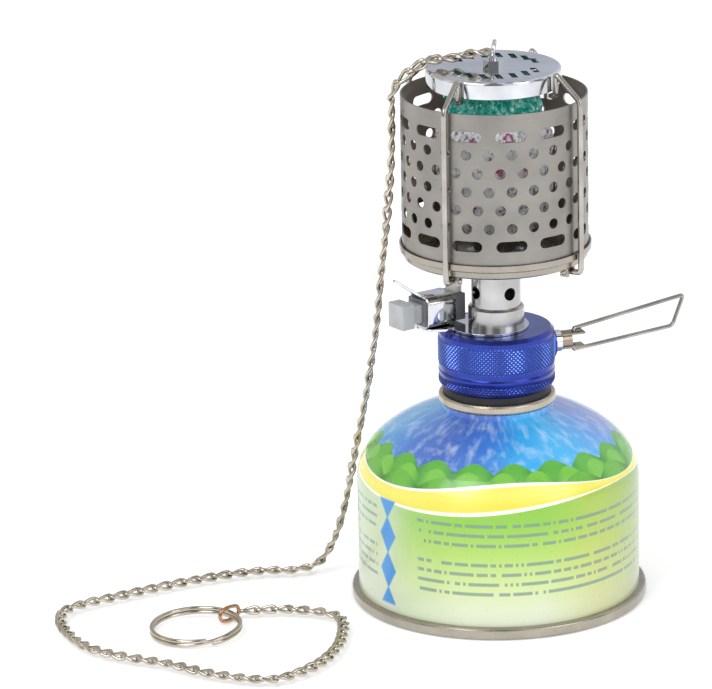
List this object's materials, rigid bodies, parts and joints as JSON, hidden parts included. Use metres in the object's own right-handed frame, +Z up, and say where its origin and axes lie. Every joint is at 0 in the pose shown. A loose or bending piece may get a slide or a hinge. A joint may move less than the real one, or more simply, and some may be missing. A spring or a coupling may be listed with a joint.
{
  "type": "gas lantern on a valve cartridge",
  "caption": "Backpacking gas lantern with a perforated steel globe, push-button igniter, folding valve handle and carrying chain, screwed onto a domed valve gas cartridge.",
  "frame": {"origin": "centre of the cartridge's bottom rim, on the surface that it stands on", "axes": "+Z up along the cartridge's and the lantern's common axis, -Y towards the front, +X towards the valve handle"},
  "size_m": [0.1951, 0.1295, 0.1758],
  "materials": {
    "printed_tin": "gloss",
    "bare_tin": "satin",
    "cup_tin": "satin",
    "valve_brass": "satin",
    "black_rubber": "matte",
    "spring_steel": "bright",
    "blue_anodised": "anodised",
    "bright_chrome": "polished",
    "turned_steel": "satin",
    "clip_steel": "satin",
    "handle_steel": "bright",
    "globe_steel": "satin",
    "hood_steel": "polished",
    "grey_plastic": "matte",
    "dark_plastic": "matte",
    "white_ceramic": "glazed",
    "chain_nickel": "polished",
    "copper_link": "satin",
    "mantle_silk": "matte",
    "packet_film": "gloss"
  },
  "bodies": {
    "cartridge": {"can_shell": "printed_tin", "can_base": "bare_tin", "valve_cup": "cup_tin", "cartridge_gasket": "black_rubber", "cartridge_housing": "valve_brass"},
    "cartridge_stem": {"cartridge_stem": "valve_brass", "cartridge_spring": "spring_steel"},
    "seal": {"seal_ring": "black_rubber"},
    "lantern": {"valve_body": "blue_anodised", "depressor_pin": "valve_brass", "pin_seal": "black_rubber", "gas_jet": "valve_brass", "gland_nut": "bright_chrome", "spindle_seal": "black_rubber", "collar": "turned_steel", "mixing_tube": "turned_steel", "burner_nozzle": "turned_steel", "burner_gauze": "spring_steel", "base_pan": "globe_steel", "igniter_bracket": "bright_chrome", "piezo_case": "dark_plastic", "piezo_crystal": "white_ceramic", "electrode_insulator": "white_ceramic", "electrode_wire": "spring_steel", "mantle": "mantle_silk", "mantle_packet": "packet_film"},
    "valve_spindle": {"valve_spindle": "turned_steel", "handle_clip": "clip_steel"},
    "wire_handle": {"wire_handle": "handle_steel"},
    "igniter_button": {"piezo_button": "grey_plastic", "piezo_hammer": "turned_steel", "piezo_spring": "spring_steel"},
    "globe": {"globe": "globe_steel"},
    "cage_wire_1": {"cage_wire_1": "handle_steel"},
    "cage_wire_2": {"cage_wire_2": "handle_steel"},
    "cage_wire_3": {"cage_wire_3": "handle_steel"},
    "cage_wire_4": {"cage_wire_4": "handle_steel"},
    "hood": {"hood": "hood_steel", "hanging_eye": "bright_chrome", "eye_nut": "bright_chrome", "chain": "chain_nickel", "joining_link": "copper_link", "split_ring": "chain_nickel"}
  },
  "joints": [
    {"name": "thread_lift", "type": "slide", "parent": "cartridge", "child": "seal", "axis": [0, 0, 1], "range_m": [0, 0.00453]},
    {"name": "unscrew", "type": "hinge", "parent": "seal", "child": "lantern", "pos_m": [0, 0, 0.06739], "axis": [0, 0, 1], "range_deg": [0, 1800]},
    {"name": "stem_rise", "type": "slide", "parent": "cartridge", "child": "cartridge_stem", "axis": [0, 0, 1], "range_m": [0, 0.0015], "deforming": ["cartridge_spring"]},
    {"name": "valve_turn", "type": "hinge", "parent": "lantern", "child": "valve_spindle", "pos_m": [0.02368, 0.00862, 0.07859], "axis": [0.9397, 0.342, 0], "range_deg": [0, 450]},
    {"name": "handle_fold", "type": "hinge", "parent": "valve_spindle", "child": "wire_handle", "pos_m": [0.02368, 0.00862, 0.07859], "axis": [0, 0, 1], "range_deg": [-92, 58]},
    {"name": "igniter_press", "type": "slide", "parent": "lantern", "child": "igniter_button", "axis": [0.8, 0.6, 0], "range_m": [0, 0.0032], "stiffness_N_per_m": 900, "springref_m": -0.002},
    {"name": "hood_lift", "type": "slide", "parent": "lantern", "child": "hood", "axis": [0, 0, 1], "range_m": [0, 0.024]},
    {"name": "globe_turn", "type": "hinge", "parent": "lantern", "child": "globe", "pos_m": [0, 0, 0.11119], "axis": [0, 0, 1], "continuous": true},
    {"name": "cage_swing_1", "type": "hinge", "parent": "lantern", "child": "cage_wire_1", "pos_m": [-0.01258, -0.02224, 0.10699], "axis": [0.8704, -0.4924, 0], "range_deg": [0, 12], "stiffness_Nm_per_rad": 0.05, "springref_deg": -1.15},
    {"name": "cage_swing_2", "type": "hinge", "parent": "lantern", "child": "cage_wire_2", "pos_m": [0.02167, -0.01354, 0.10699], "axis": [0.5299, 0.848, 0], "range_deg": [0, 12], "stiffness_Nm_per_rad": 0.05, "springref_deg": -1.15},
    {"name": "cage_swing_3", "type": "hinge", "parent": "lantern", "child": "cage_wire_3", "pos_m": [0.01354, 0.02167, 0.10699], "axis": [-0.848, 0.5299, 0], "range_deg": [0, 12], "stiffness_Nm_per_rad": 0.05, "springref_deg": -1.15},
    {"name": "cage_swing_4", "type": "hinge", "parent": "lantern", "child": "cage_wire_4", "pos_m": [-0.02167, 0.01354, 0.10699], "axis": [-0.5299, -0.848, 0], "range_deg": [0, 12], "stiffness_Nm_per_rad": 0.05, "springref_deg": -1.15}
  ],
  "couplings": [
    {"joint": "thread_lift", "follows": "unscrew", "m_per_rad": 0.00014435},
    {"joint": "stem_rise", "follows": "unscrew", "m_per_rad": 0.000047699}
  ]
}
